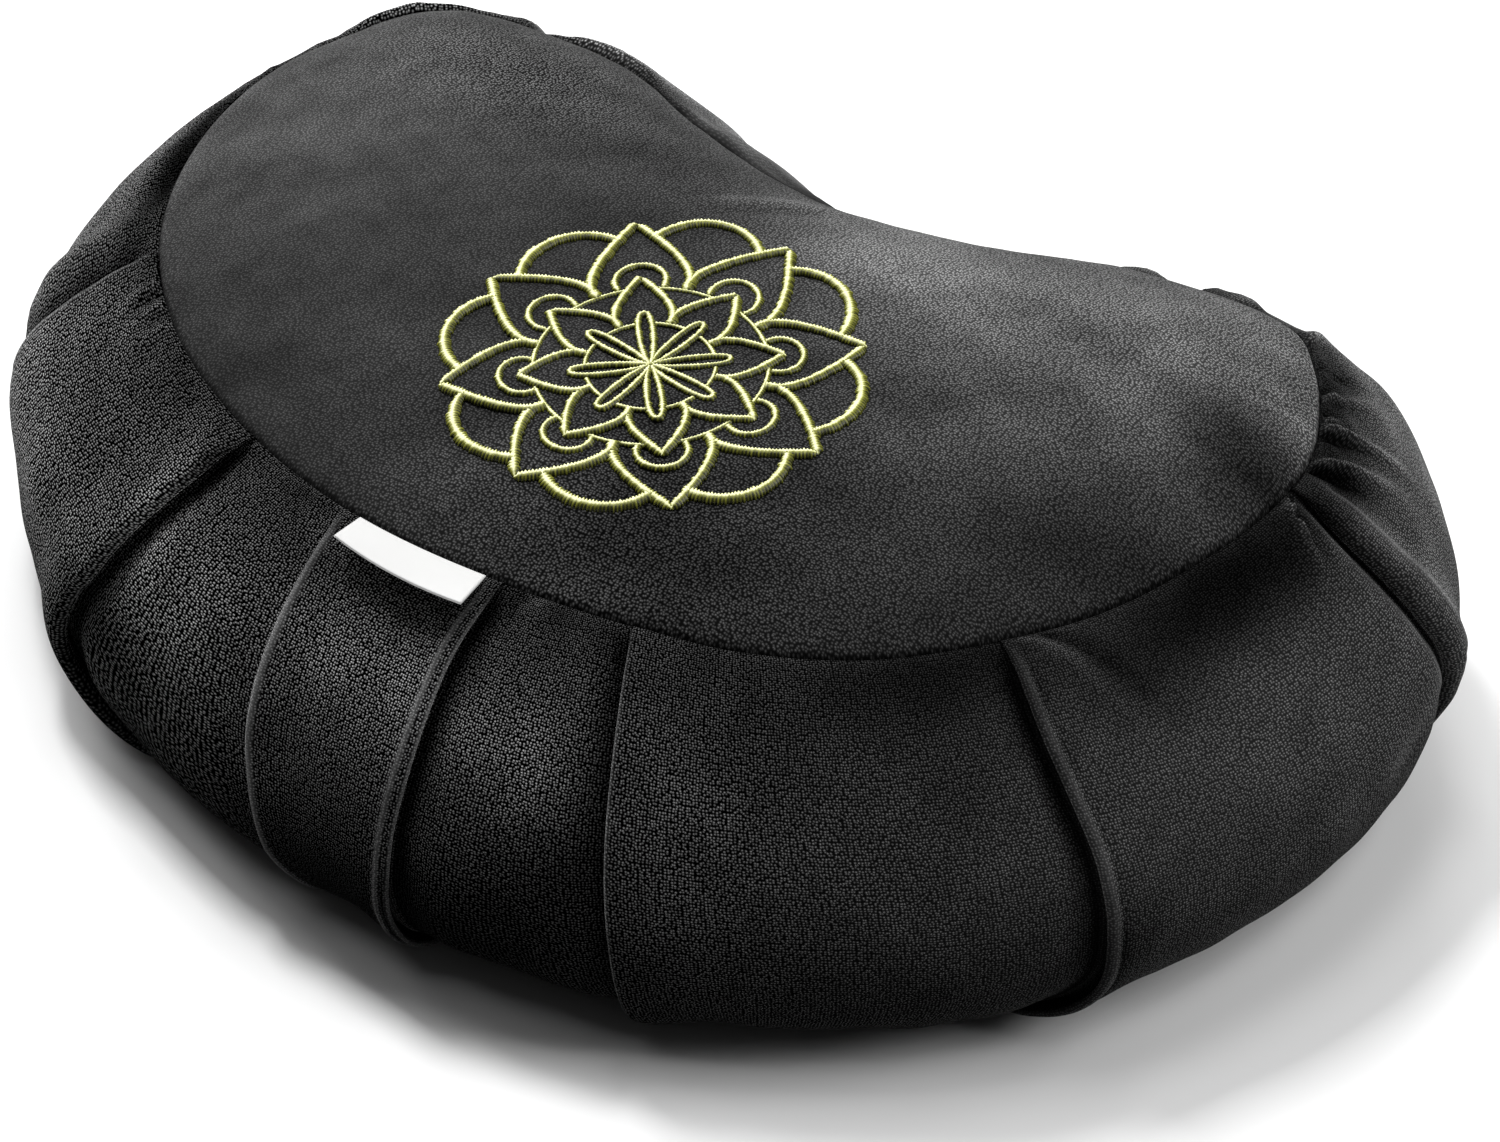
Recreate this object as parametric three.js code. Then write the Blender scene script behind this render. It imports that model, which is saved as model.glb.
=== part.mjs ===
import * as THREE from "three";

// Crescent meditation cushion of pleated velvet.
// Millimetres, +X from the middle to the right lobe, -Y towards the rounded front, +Z up.
// A place along the top seam is in mm from the middle of the front, positive to the right.

// Driving sizes of the top seam: a half circle in front, a lobe at each end, a hollow behind
const FRONT_RADIUS = 171;
const LOBE_RADIUS = 67;
const HOLLOW_RADIUS = 120;

// Driving heights above the floor, and the gap that sewn pieces keep between their solids
const SEAM_HEIGHT = 114;
const WIDEST_HEIGHT = 48;
const BASE_THICKNESS = 4;
const GAP = 0.3;

// Crown of the top panel over its seam: its height, its extra swell behind the spine, and how
// flat its top and how round its rim
const CROWN_MIDDLE = 21;
const CROWN_LOBE = 22;
const CROWN_BACK = 7;
const CROWN_FLATNESS = 2;
const CROWN_RIM = 0.9;

// Profile of the side band, as handles of two curves from the seam to the widest place and on to
// the foot: shares of the bulge outwards, and of the heights above and below the widest place
const WIDEST_SHARE = 0.55;
const SHOULDER_HANDLES = { out: 0.33, rise: 0.83, widestRise: 0.44 };
const BELLY_HANDLES = { widestDrop: 0.65, footOut: 0.87 };
const FOOT_SHARE = 0.35;
const BASE_EDGE = 5;

// How far the sewn seam eases out of its arcs: place along the seam, outwards
const SEAM_EASE = [
  { along: -440, out: 2.4 },
  { along: -400, out: 0 },
  { along: -370, out: -2.2 },
  { along: -330, out: 3 },
  { along: -295, out: -3.4 },
  { along: -252, out: -0.6 },
  { along: -210, out: 1.1 },
  { along: -170, out: 2 },
  { along: -124, out: 0.7 },
  { along: -88, out: -1.1 },
  { along: -31, out: -2.5 },
  { along: 16, out: -3 },
  { along: 50, out: -0.4 },
  { along: 83, out: 4.3 },
  { along: 114, out: 6 },
  { along: 146, out: 4 },
  { along: 182, out: 2.1 },
  { along: 218, out: -1.1 },
  { along: 256, out: -2 },
  { along: 300, out: -2.6 },
  { along: 323, out: 0.8 },
  { along: 341, out: 4.4 },
  { along: 372, out: -3 },
  { along: 403, out: -2.3 },
  { along: 440, out: 0.2 },
  { along: 486, out: 0.7 },
];

// How far the side band stands out from the seam at its widest: place along the seam, bulge
const BULGES = [
  { along: -440, bulge: 50 },
  { along: -395, bulge: 48 },
  { along: -356, bulge: 45 },
  { along: -320, bulge: 41.5 },
  { along: -290, bulge: 39.2 },
  { along: -255, bulge: 39.2 },
  { along: -214, bulge: 41.1 },
  { along: -175, bulge: 40.5 },
  { along: -140, bulge: 38 },
  { along: -105, bulge: 36.2 },
  { along: -35, bulge: 36 },
  { along: 0, bulge: 38.4 },
  { along: 40, bulge: 39 },
  { along: 107, bulge: 38.8 },
  { along: 140, bulge: 41.5 },
  { along: 175, bulge: 45.6 },
  { along: 214, bulge: 48.3 },
  { along: 255, bulge: 48.5 },
  { along: 290, bulge: 47.6 },
  { along: 320, bulge: 47.7 },
  { along: 350, bulge: 49.3 },
  { along: 385, bulge: 50 },
  { along: 428, bulge: 50.4 },
  { along: 486, bulge: 50.5 },
];

// Knife pleats. The five places along the seam are at the shares of the profile in PLEAT_SHARES.
// The side that lies over is 1 for more along the seam, -1 for less.
// The lying side is lifted over the width roll, the other tucked in over the width valley.
const PLEAT_SHARES = [0, 0.2, 0.45, 0.7, 1];
const PLEATS = [
  { places: [-356, -357, -358, -358, -356], over: 1, lift: 2.5, tuck: 4, roll: 30, valley: 18 },
  { places: [-168, -171, -183, -197, -196], over: 1, lift: 5, tuck: 5, roll: 30, valley: 24 },
  { places: [-75, -83, -96, -108.5, -106], over: -1, lift: 5, tuck: 5, roll: 26, valley: 24 },
  { places: [-36, -37, -35.5, -30, -16], over: 1, lift: 2, tuck: 3.5, roll: 16, valley: 20 },
  { places: [16.5, 11.5, 9.7, 10.5, 20], over: -1, lift: 3, tuck: 4.5, roll: 18, valley: 20 },
  { places: [54, 55.3, 57.8, 62.6, 72], over: 1, lift: 2.5, tuck: 3.5, roll: 26, valley: 20 },
  { places: [151, 156, 165.5, 167, 150], over: 1, lift: 4, tuck: 4.5, roll: 24, valley: 22 },
  { places: [265, 271, 281, 290, 288], over: 1, lift: 4, tuck: 5, roll: 18, valley: 20 },
  { places: [372, 373, 374, 374, 372], over: -1, lift: 2.5, tuck: 4, roll: 28, valley: 18 },
];
const PLEAT_STEP = 1.2;

// Gathers of the two lobes: place at the seam, place and share where they fade out, height and width
const GATHERS = [
  { start: 277, end: 302, reach: 0.3, height: 5, width: 3.5 },
  { start: 294, end: 310, reach: 0.28, height: 5, width: 3.5 },
  { start: 309, end: 328, reach: 0.32, height: 5, width: 3.5 },
  { start: 323, end: 336, reach: 0.26, height: 4, width: 3.5 },
  { start: 336, end: 347, reach: 0.3, height: 3.5, width: 4 },
  { start: 350, end: 362, reach: 0.26, height: 2.5, width: 6 },
  { start: 388, end: 392, reach: 0.3, height: 3, width: 9 },
  { start: 412, end: 414, reach: 0.3, height: 2.5, width: 8 },
  { start: -388, end: -388, reach: 0.3, height: 3, width: 14 },
  { start: -326, end: -328, reach: 0.3, height: 2.5, width: 14 },
  { start: -206, end: -204, reach: 0.2, height: -4, width: 14 },
];

// Bare ribbon label that stands straight out from the top seam: where it starts and ends, how far
// it reaches, the rise of its two corners, the bow of its free edge, and its gap to the seam
const LABEL = {
  from: -30.5,
  to: 11.5,
  length: 14,
  riseLeft: 1.4,
  riseRight: -1.2,
  bow: 1.6,
  thickness: 0.8,
  clearance: 0.5,
};

// Fineness of the solids
const COLUMN_PITCH = 13;
const GATHER_PITCH = 3.2;
const PLEAT_OFFSETS = [4, 10, 18];
const SEAM_PITCH = 8;
const BAND_SHARES = [
  0, 0.025, 0.06, 0.1, 0.15, 0.2, 0.26, 0.33, 0.41, 0.48, 0.55, 0.62, 0.69, 0.76, 0.83, 0.9, 0.96, 1,
];
const CROWN_SHARES = [0.12, 0.3, 0.46, 0.6, 0.72, 0.82, 0.9, 0.95, 0.985, 1];

// The seam's arcs in order: centre, radius, first direction, swept angle, side that faces out
const LOBE_X = FRONT_RADIUS - LOBE_RADIUS;
const HOLLOW_Y = Math.sqrt((HOLLOW_RADIUS + LOBE_RADIUS) ** 2 - LOBE_X ** 2);
const HOLLOW_TURN = Math.atan2(HOLLOW_Y, LOBE_X);
const QUARTER = Math.PI / 2;
const ARCS = [
  { x: 0, y: 0, radius: FRONT_RADIUS, from: -QUARTER, sweep: QUARTER, out: 1 },
  { x: LOBE_X, y: 0, radius: LOBE_RADIUS, from: 0, sweep: Math.PI - HOLLOW_TURN, out: 1 },
  { x: 0, y: HOLLOW_Y, radius: HOLLOW_RADIUS, from: -HOLLOW_TURN, sweep: 2 * HOLLOW_TURN - Math.PI, out: -1 },
  { x: -LOBE_X, y: 0, radius: LOBE_RADIUS, from: HOLLOW_TURN, sweep: Math.PI - HOLLOW_TURN, out: 1 },
  { x: 0, y: 0, radius: FRONT_RADIUS, from: Math.PI, sweep: QUARTER, out: 1 },
];
const arcLength = (arc) => arc.radius * Math.abs(arc.sweep);
const SEAM_LENGTH = ARCS.reduce((sum, arc) => sum + arcLength(arc), 0);

// The spine that the crown is highest along: an arc between the lobe centres through mid panel
const SPINE_SAG = (FRONT_RADIUS - (HOLLOW_Y - HOLLOW_RADIUS)) / 2;
const SPINE_RADIUS = (LOBE_X ** 2 + SPINE_SAG ** 2) / (2 * SPINE_SAG);
const SPINE_HALF_ANGLE = Math.asin(LOBE_X / SPINE_RADIUS);

function spinePoint(share) {
  const angle = (2 * share - 1) * SPINE_HALF_ANGLE;
  const x = SPINE_RADIUS * Math.sin(angle);
  const y = SPINE_RADIUS - SPINE_SAG - SPINE_RADIUS * Math.cos(angle);
  return { x, y };
}

const smooth = (t) => THREE.MathUtils.smoothstep(t, 0, 1);

// A smooth curve through knots of equal order, read at one place
function readCurve(places, values, at) {
  let i = 0;
  while (i < places.length - 2 && at > places[i + 1]) i += 1;
  const slopeAt = (k) => {
    const before = Math.max(k - 1, 0);
    const after = Math.min(k + 1, places.length - 1);
    return (values[after] - values[before]) / (places[after] - places[before]);
  };
  const span = places[i + 1] - places[i];
  const t = THREE.MathUtils.clamp((at - places[i]) / span, 0, 1);
  const rise = values[i + 1] - values[i];
  const bend = (slopeAt(i) * span - rise) * (1 - t) - (slopeAt(i + 1) * span - rise) * t;
  return values[i] + rise * t + t * (1 - t) * bend;
}

// A table round the closed seam as one curve: it is repeated on either side, so its ends join
function roundTheSeam(rows, key) {
  const laps = [-SEAM_LENGTH, 0, SEAM_LENGTH];
  const places = laps.flatMap((lap) => rows.map((row) => row.along + lap));
  const values = laps.flatMap(() => rows.map((row) => row[key]));
  return (along) => readCurve(places, values, THREE.MathUtils.euclideanModulo(along, SEAM_LENGTH));
}

const easeAt = roundTheSeam(SEAM_EASE, "out");
const bulgeAt = roundTheSeam(BULGES, "bulge");

// A point of the seam with its outward direction, and the spine share that it faces
function seamPoint(along) {
  let left = ((along % SEAM_LENGTH) + SEAM_LENGTH) % SEAM_LENGTH;
  let index = 0;
  while (index < ARCS.length - 1 && left > arcLength(ARCS[index])) {
    left -= arcLength(ARCS[index]);
    index += 1;
  }
  const arc = ARCS[index];
  const share = left / arcLength(arc);
  const angle = arc.from + arc.sweep * share;
  const spineShares = [0.5 + share / 2, 1, 1 - share, 0, share / 2];
  const radius = arc.radius + arc.out * easeAt(along);
  return {
    x: arc.x + radius * Math.cos(angle),
    y: arc.y + radius * Math.sin(angle),
    outX: arc.out * Math.cos(angle),
    outY: arc.out * Math.sin(angle),
    spineShare: spineShares[index],
    behindSpine: arc.out < 0,
  };
}

// The band's profile: outwards from 0 at the seam to 1 at the widest place, and height in mm
const FOOT_HEIGHT = BASE_THICKNESS + GAP;
const RISE = SEAM_HEIGHT - GAP - WIDEST_HEIGHT;
const DROP = WIDEST_HEIGHT - FOOT_HEIGHT;
const shoulderCurve = new THREE.CubicBezierCurve(
  new THREE.Vector2(0, WIDEST_HEIGHT + RISE),
  new THREE.Vector2(SHOULDER_HANDLES.out, WIDEST_HEIGHT + RISE * SHOULDER_HANDLES.rise),
  new THREE.Vector2(1, WIDEST_HEIGHT + RISE * SHOULDER_HANDLES.widestRise),
  new THREE.Vector2(1, WIDEST_HEIGHT),
);
const bellyCurve = new THREE.CubicBezierCurve(
  new THREE.Vector2(1, WIDEST_HEIGHT),
  new THREE.Vector2(1, WIDEST_HEIGHT - DROP * BELLY_HANDLES.widestDrop),
  new THREE.Vector2(BELLY_HANDLES.footOut, FOOT_HEIGHT),
  new THREE.Vector2(FOOT_SHARE, FOOT_HEIGHT),
);

function profileAt(share) {
  if (share < WIDEST_SHARE) return shoulderCurve.getPoint(share / WIDEST_SHARE);
  return bellyCurve.getPoint((share - WIDEST_SHARE) / (1 - WIDEST_SHARE));
}

function smoothBand(along, share) {
  const seam = seamPoint(along);
  const profile = profileAt(share);
  const out = bulgeAt(along) * profile.x;
  return new THREE.Vector3(seam.x + seam.outX * out, seam.y + seam.outY * out, profile.y);
}

// Outward direction of the smooth band, from two short steps on it
function bandNormal(along, share) {
  const step = 0.01;
  const upper = smoothBand(along, Math.max(share - step, 0));
  const lower = smoothBand(along, Math.min(share + step, 1));
  const seam = seamPoint(along);
  const sideways = new THREE.Vector3(-seam.outY, seam.outX, 0);
  return lower.sub(upper).cross(sideways).normalize();
}

// Distance along the seam from a pleat, taken the short way round
function pleatDistance(pleat, along, share) {
  const place = readCurve(PLEAT_SHARES, pleat.places, share);
  const distance = along - place;
  return distance - SEAM_LENGTH * Math.round(distance / SEAM_LENGTH);
}

// Height of pleats and gathers over the smooth band; both die away at the two seams
function reliefAt(along, share, pleatSides) {
  let height = 0;
  PLEATS.forEach((pleat, index) => {
    const side = pleatSides[index] ?? Math.sign(pleatDistance(pleat, along, share)) * pleat.over;
    const distance = Math.abs(pleatDistance(pleat, along, share));
    const lifted = pleat.lift * (1 - smooth(distance / pleat.roll));
    const tucked = -pleat.tuck * (1 - smooth(distance / pleat.valley));
    height += side > 0 ? lifted : tucked;
  });
  height *= smooth(share / 0.2 + 0.1) * smooth((1 - share) / 0.12);
  GATHERS.forEach((gather) => {
    const down = share / gather.reach;
    const place = gather.start + (gather.end - gather.start) * down;
    const spread = gather.width * (1 + 0.5 * down);
    const fade = smooth(share / 0.06) * (1 - smooth(down));
    height += gather.height * fade * Math.exp(-(((along - place) / spread) ** 2));
  });
  return height;
}

function bandPoint(along, share, pleatSides = {}) {
  const point = smoothBand(along, share);
  const height = reliefAt(along, share, pleatSides);
  return point.addScaledVector(bandNormal(along, share), height);
}

// The columns between one pleat and the next, each a pleat offset or a share of the way
function sectionColumns(index) {
  const next = (index + 1) % PLEATS.length;
  const start = PLEATS[index].places[0];
  const end = PLEATS[next].places[0] + (next === 0 ? SEAM_LENGTH : 0);
  const gathered = GATHERS.some((gather) => gather.start > start && gather.start < end);
  const pitch = gathered ? GATHER_PITCH : COLUMN_PITCH;
  const offsets = PLEAT_OFFSETS.filter((offset) => offset < (end - start) / 2 - pitch / 2);
  const edge = offsets.at(-1) ?? 0;
  const count = Math.max(1, Math.round((end - start - 2 * edge) / pitch));
  const atShare = (pleat, share) => readCurve(PLEAT_SHARES, pleat.places, share);
  const lap = next === 0 ? SEAM_LENGTH : 0;
  const firstOver = PLEATS[index].over > 0;
  const lastOver = PLEATS[next].over < 0;
  const firstStep = firstOver ? 0 : PLEAT_STEP;
  const lastStep = lastOver ? 0 : PLEAT_STEP;
  const first = (offset) => (share) => atShare(PLEATS[index], share) + firstStep + offset;
  const last = (offset) => (share) => atShare(PLEATS[next], share) + lap - lastStep - offset;
  const columns = [{ along: first(0), sides: { [index]: firstOver ? 1 : -1 } }];
  offsets.forEach((offset) => columns.push({ along: first(offset), sides: {} }));
  for (let k = 1; k < count; k += 1) {
    const along = (share) => THREE.MathUtils.lerp(first(edge)(share), last(edge)(share), k / count);
    columns.push({ along, sides: {} });
  }
  offsets.toReversed().forEach((offset) => columns.push({ along: last(offset), sides: {} }));
  columns.push({ along: last(0), sides: { [next]: lastOver ? 1 : -1 } });
  return columns;
}

function indexedGeometry(positions, faces) {
  const geometry = new THREE.BufferGeometry();
  geometry.setAttribute("position", new THREE.Float32BufferAttribute(positions, 3));
  geometry.setIndex(faces);
  geometry.computeVertexNormals();
  return geometry;
}

// Faces across a ring that is narrow in Y, as rungs between its front and its back edge
function ladderFaces(ring) {
  const count = ring.length;
  const byX = ring.map((_, k) => k).sort((a, b) => ring[a].x - ring[b].x);
  const right = byX.at(-1);
  let front = byX[0];
  let back = byX[0];
  const faces = [];
  while (front !== right || back !== right) {
    const nextFront = (front + 1) % count;
    const nextBack = (back + count - 1) % count;
    const stepFront = back === right || (front !== right && ring[nextFront].x < ring[nextBack].x);
    const next = stepFront ? nextFront : nextBack;
    if (front !== back && next !== (stepFront ? back : front)) faces.push([back, front, next]);
    if (stepFront) front = nextFront;
    else back = nextBack;
  }
  return faces;
}

// Faces across a level ring of any outline
function levelFaces(ring) {
  const outline = ring.map((point) => new THREE.Vector2(point.x, point.y));
  return THREE.ShapeUtils.triangulateShape(outline, []);
}

// A closed solid from rings of points, the upper ring first and each in order anticlockwise
function ringSolid(rings, upperFaces = levelFaces) {
  const count = rings[0].length;
  const positions = rings.flatMap((ring) => ring.flatMap((point) => point.toArray()));
  const faces = [];
  for (let row = 0; row < rings.length - 1; row += 1) {
    for (let column = 0; column < count; column += 1) {
      const a = row * count + column;
      const b = row * count + ((column + 1) % count);
      faces.push(a, a + count, b, b, a + count, b + count);
    }
  }
  const lowest = (rings.length - 1) * count;
  upperFaces(rings[0]).forEach(([a, b, c]) => faces.push(a, b, c));
  levelFaces(rings.at(-1)).forEach(([a, b, c]) => faces.push(lowest + a, lowest + c, lowest + b));
  return indexedGeometry(positions, faces);
}

// Places equally far apart round the whole seam
const SEAM_COUNT = Math.round(SEAM_LENGTH / SEAM_PITCH);
const SEAM_PLACES = Array.from({ length: SEAM_COUNT }, (_, k) => (k * SEAM_LENGTH) / SEAM_COUNT);

// Top panel: crowned over its seam, and flat where the fill of the band goes on under it
function topPanelGeometry() {
  const ringAt = (share) =>
    SEAM_PLACES.map((along) => {
      const seam = seamPoint(along);
      const spine = spinePoint(seam.spineShare);
      const middleShare = Math.sin(Math.PI * seam.spineShare);
      const crown = THREE.MathUtils.lerp(CROWN_LOBE, CROWN_MIDDLE, middleShare);
      const swell = seam.behindSpine ? CROWN_BACK * middleShare * 4 * share ** 2 * (1 - share ** 2) : 0;
      const height = SEAM_HEIGHT + crown * (1 - share ** CROWN_FLATNESS) ** CROWN_RIM + swell;
      const x = THREE.MathUtils.lerp(spine.x, seam.x, share);
      const y = THREE.MathUtils.lerp(spine.y, seam.y, share);
      return new THREE.Vector3(x, y, height);
    });
  return ringSolid(CROWN_SHARES.map(ringAt), ladderFaces);
}

// Side band: the filled body of the cushion between the two panels, pleated and gathered
function sideBandGeometry() {
  const columns = PLEATS.flatMap((_, index) => sectionColumns(index));
  const rings = BAND_SHARES.map((share) =>
    columns.map((column) => bandPoint(column.along(share), share, column.sides)),
  );
  return ringSolid(rings);
}

// Bottom panel: a flat crescent with its edge turned up to the bottom seam
function bottomPanelGeometry() {
  const ringAt = (inset, height) =>
    SEAM_PLACES.map((along) => {
      const seam = seamPoint(along);
      const out = bulgeAt(along) * FOOT_SHARE - inset;
      return new THREE.Vector3(seam.x + seam.outX * out, seam.y + seam.outY * out, height);
    });
  return ringSolid([ringAt(0, BASE_THICKNESS), ringAt(BASE_EDGE, 0)]);
}

// A closed thin sheet between a lower and an upper layer of the same grid of points
function sheetSolid(pointAt, acrossCount, downCount) {
  const positions = [];
  const stride = acrossCount + 1;
  const layerSize = stride * (downCount + 1);
  [0, 1].forEach((layer) => {
    for (let down = 0; down <= downCount; down += 1) {
      for (let across = 0; across <= acrossCount; across += 1) {
        positions.push(...pointAt(across / acrossCount, down / downCount, layer).toArray());
      }
    }
  });
  const faces = [];
  const addQuad = (a, b, c, d) => faces.push(a, b, c, a, c, d);
  for (let down = 0; down < downCount; down += 1) {
    for (let across = 0; across < acrossCount; across += 1) {
      const a = down * stride + across;
      addQuad(a, a + 1, a + 1 + stride, a + stride);
      addQuad(a + layerSize, a + stride + layerSize, a + 1 + stride + layerSize, a + 1 + layerSize);
    }
  }
  const addRim = (a, b) => addQuad(a, b, b + layerSize, a + layerSize);
  for (let across = 0; across < acrossCount; across += 1) {
    addRim(across + 1, across);
    addRim(downCount * stride + across, downCount * stride + across + 1);
  }
  for (let down = 0; down < downCount; down += 1) {
    addRim(down * stride, (down + 1) * stride);
    addRim((down + 1) * stride + acrossCount, down * stride + acrossCount);
  }
  return indexedGeometry(positions, faces);
}

// Label: a ribbon whose inner edge is caught at the seam
function labelGeometry() {
  const pointAt = (across, down, layer) => {
    const along = THREE.MathUtils.lerp(LABEL.from, LABEL.to, across);
    const seam = seamPoint(along);
    const out = LABEL.clearance + LABEL.length * down;
    const rise = THREE.MathUtils.lerp(LABEL.riseLeft, LABEL.riseRight, across) * down;
    const bow = LABEL.bow * 4 * across * (1 - across) * down ** 1.5;
    const height = SEAM_HEIGHT + rise - bow + layer * LABEL.thickness;
    return new THREE.Vector3(seam.x + seam.outX * out, seam.y + seam.outY * out, height);
  };
  return sheetSolid(pointAt, 10, 5);
}

const VELVET = { color: 0x2b2a2b, roughness: 0.9, metalness: 0 };
const RIBBON = { color: 0xf2f1ee, roughness: 0.6, metalness: 0 };

function addPiece(group, name, geometry, finish) {
  const mesh = new THREE.Mesh(geometry, new THREE.MeshStandardMaterial(finish));
  mesh.name = name;
  group.add(mesh);
}

const cushion = new THREE.Group();
addPiece(cushion, "top_panel", topPanelGeometry(), VELVET);
addPiece(cushion, "side_band", sideBandGeometry(), VELVET);
addPiece(cushion, "bottom_panel", bottomPanelGeometry(), VELVET);
addPiece(cushion, "label_tag", labelGeometry(), RIBBON);

// The origin goes under the middle of the whole cushion, on the floor
const middle = new THREE.Box3().setFromObject(cushion).getCenter(new THREE.Vector3());
cushion.position.set(-middle.x, -middle.y, 0);

export default cushion;
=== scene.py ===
"""Crescent meditation cushion of black velour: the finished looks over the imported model.

Shapes are worked out in millimetres from the middle of the front seam's arc, and `to_frame`
brings them to the frame in metres. `along` is a place on the top seam in mm from the middle of
the front, positive to the right. `share` runs down the side band, 0 at the top seam and 1 at the
bottom seam.
"""

import math

import bmesh
import bpy
import numpy as np
from mathutils import Matrix, Vector


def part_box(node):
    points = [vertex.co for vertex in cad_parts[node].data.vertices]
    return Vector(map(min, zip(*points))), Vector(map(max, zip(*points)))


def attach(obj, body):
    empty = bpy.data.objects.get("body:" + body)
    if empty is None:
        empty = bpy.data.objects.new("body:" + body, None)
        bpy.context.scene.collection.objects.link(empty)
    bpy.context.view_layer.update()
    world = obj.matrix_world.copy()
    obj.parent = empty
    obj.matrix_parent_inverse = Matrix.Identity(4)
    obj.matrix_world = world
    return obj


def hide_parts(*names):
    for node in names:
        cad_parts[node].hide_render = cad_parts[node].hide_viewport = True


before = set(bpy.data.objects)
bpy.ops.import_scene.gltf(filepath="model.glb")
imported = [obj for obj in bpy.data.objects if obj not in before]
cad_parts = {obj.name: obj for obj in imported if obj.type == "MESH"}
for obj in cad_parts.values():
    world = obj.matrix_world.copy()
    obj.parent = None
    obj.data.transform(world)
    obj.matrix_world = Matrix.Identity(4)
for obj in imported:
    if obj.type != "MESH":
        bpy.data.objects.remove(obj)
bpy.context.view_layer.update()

# Sizes of the cushion, in mm

FRONT_RADIUS, LOBE_RADIUS, HOLLOW_RADIUS = 171.0, 67.0, 120.0
LOBE_X = FRONT_RADIUS - LOBE_RADIUS
HOLLOW_Y = math.sqrt((HOLLOW_RADIUS + LOBE_RADIUS) ** 2 - LOBE_X**2)
HOLLOW_TURN = math.atan2(HOLLOW_Y, LOBE_X)
QUARTER = math.pi / 2
SEAM_HEIGHT, WIDEST_HEIGHT, FOOT_HEIGHT, BASE_THICKNESS = 113.7, 48.0, 4.3, 4.0
CROWN_MIDDLE, CROWN_LOBE, CROWN_BACK, CROWN_FLATNESS, CROWN_RIM = 21.0, 22.0, 7.0, 2.0, 0.9
WIDEST_SHARE, FOOT_SHARE, BASE_EDGE = 0.55, 0.35, 5.0
SHOULDER_OUT, SHOULDER_RISE, WIDEST_RISE, WIDEST_DROP, FOOT_OUT = 0.33, 0.83, 0.44, 0.65, 0.87
BAND_LENGTH = 140.0

# The seam's arcs: centre x, centre y, radius, first angle, swept angle, outer side, and the
# shares of the spine that their two ends face
ARCS = np.array([
    (0, 0, FRONT_RADIUS, -QUARTER, QUARTER, 1, 0.5, 1),
    (LOBE_X, 0, LOBE_RADIUS, 0, math.pi - HOLLOW_TURN, 1, 1, 1),
    (0, HOLLOW_Y, HOLLOW_RADIUS, -HOLLOW_TURN, 2 * HOLLOW_TURN - math.pi, -1, 1, 0),
    (-LOBE_X, 0, LOBE_RADIUS, HOLLOW_TURN, math.pi - HOLLOW_TURN, 1, 0, 0),
    (0, 0, FRONT_RADIUS, math.pi, QUARTER, 1, 0, 0.5),
])
ARC_LENGTHS = ARCS[:, 2] * np.abs(ARCS[:, 4])
ARC_STARTS = np.concatenate([[0], np.cumsum(ARC_LENGTHS)])
SEAM_LENGTH = ARC_STARTS[-1]
SPINE_SAG = (FRONT_RADIUS - (HOLLOW_Y - HOLLOW_RADIUS)) / 2
SPINE_RADIUS = (LOBE_X**2 + SPINE_SAG**2) / (2 * SPINE_SAG)

# How far the sewn seam eases out of its arcs: place along the seam, outwards
SEAM_EASE = np.array([
    (-440, 2.4), (-400, 0), (-370, -2.2), (-330, 3.0), (-295, -3.4), (-252, -0.6), (-210, 1.1),
    (-170, 2.0), (-124, 0.7), (-88, -1.1), (-31, -2.5), (16, -3.0), (50, -0.4), (83, 4.3),
    (114, 6.0), (146, 4.0), (182, 2.1), (218, -1.1), (256, -2.0), (300, -2.6), (323, 0.8),
    (341, 4.4), (372, -3.0), (403, -2.3), (440, 0.2), (486, 0.7),
], dtype=float)

# How far the band stands out at its widest: place along the seam, bulge
BULGES = np.array([
    (-440, 50), (-395, 48), (-356, 45), (-320, 41.5), (-290, 39.2), (-255, 39.2), (-214, 41.1),
    (-175, 40.5), (-140, 38), (-105, 36.2), (-35, 36), (0, 38.4), (40, 39), (107, 38.8),
    (140, 41.5), (175, 45.6), (214, 48.3), (255, 48.5), (290, 47.6), (320, 47.7), (350, 49.3),
    (385, 50), (428, 50.4), (486, 50.5),
], dtype=float)

# Knife pleats: places along the seam at the shares in PLEAT_SHARES, the side that lies over,
# lift of the fold, tuck of the layer under it, the widths over which both ease off, the radius
# of the fold's lip, how much painted highlight the lip gets, and how far the painted shade in
# the recess under the fold reaches
PLEAT_SHARES = np.array([0, 0.2, 0.45, 0.7, 0.85, 1])
PLEAT_KEYS = ("places", "over", "lift", "tuck", "roll", "valley", "lip", "shine", "recess")
PLEATS = [dict(zip(PLEAT_KEYS, row)) for row in (
    ((-356, -357, -358, -358, -357, -356), 1, 2.5, 4, 30, 18, 1.5, 1.0, 4),
    ((-167, -171.5, -184, -197, -198, -196), 1, 1.2, 1.2, 30, 10, 0.8, 1.6, 14),
    ((-75, -83, -96, -110, -88, -76), -1, 4.2, 3, 26, 12, 2.6, 0.2, 3.5),
    ((-36, -37, -35.5, -30, -22, -16), 1, 1.4, 1.8, 16, 20, 0.8, 2.2, 1),
    ((16.5, 11.5, 9.7, 8.2, 12, 18), -1, 2.8, 3.5, 18, 12, 1.0, 2.2, 2.5),
    ((54, 55.3, 57.8, 62.6, 66.5, 72), 1, 3.5, 4.5, 22, 10, 1.2, 1.4, 3),
    ((151, 155, 164, 168, 161, 148), 1, 3, 3.0, 22, 12, 0.9, 0.3, 2.5),
    ((264, 270, 279.5, 292, 293, 290), 1, 4.5, 2.5, 16, 8, 4.2, 0, 1.4),
    ((372, 373, 374, 374, 373, 372), -1, 2.5, 4, 28, 18, 1.5, 1.0, 4),
)]
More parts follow.
